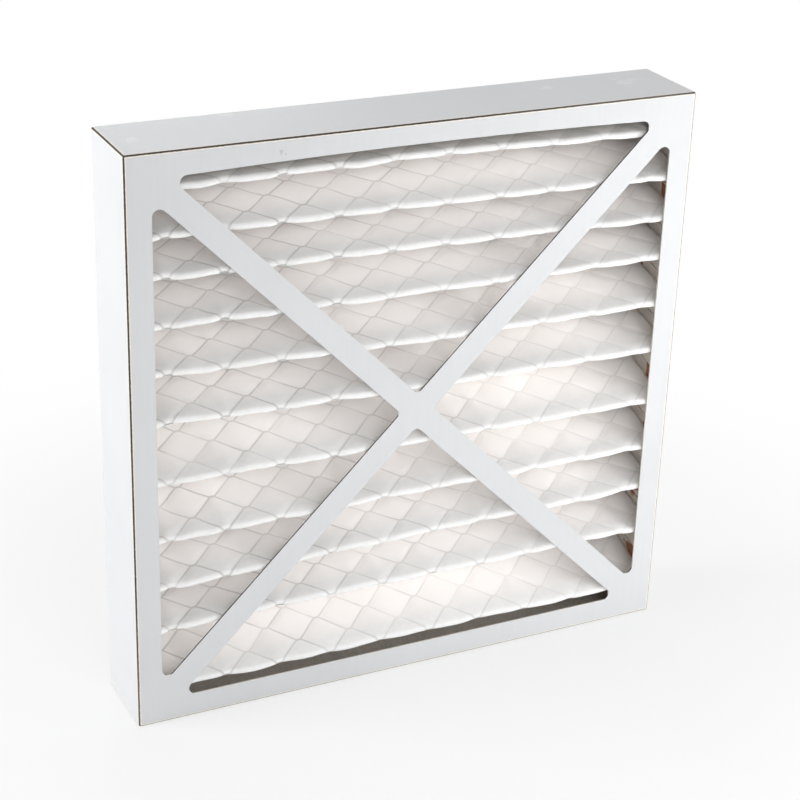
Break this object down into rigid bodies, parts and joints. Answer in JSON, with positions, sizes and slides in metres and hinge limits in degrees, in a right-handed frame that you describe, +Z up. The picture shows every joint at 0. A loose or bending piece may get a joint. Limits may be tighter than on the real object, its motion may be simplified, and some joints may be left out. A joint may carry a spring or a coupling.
{
  "type": "pleated panel air filter",
  "caption": "Flat square air filter: pleated non-woven media on a folded metal grid, held in two nested board trays with diagonal braces across both faces.",
  "frame": {"origin": "middle of the bottom edge's outer face, with the filter standing on that edge", "axes": "+Z up, +X to the right seen from the air-entering side, +Y through the filter the way the air goes"},
  "size_m": [0.2922, 0.0444, 0.2921],
  "materials": {
    "coated_board": "pale silver-grey coated board with a satin face and a brown kraft back",
    "filter_media": "soft white non-woven polyester and cotton felt",
    "grid_metal": "dull galvanised expanded metal",
    "adhesive": "cured off-white adhesive"
  },
  "bodies": {
    "root": {"front_frame": "coated_board", "rear_frame": "coated_board", "pleated_media": "filter_media", "support_grid": "grid_metal", "glue_left": "adhesive", "glue_right": "adhesive", "glue_top": "adhesive", "glue_bottom": "adhesive"}
  },
  "joints": []
}
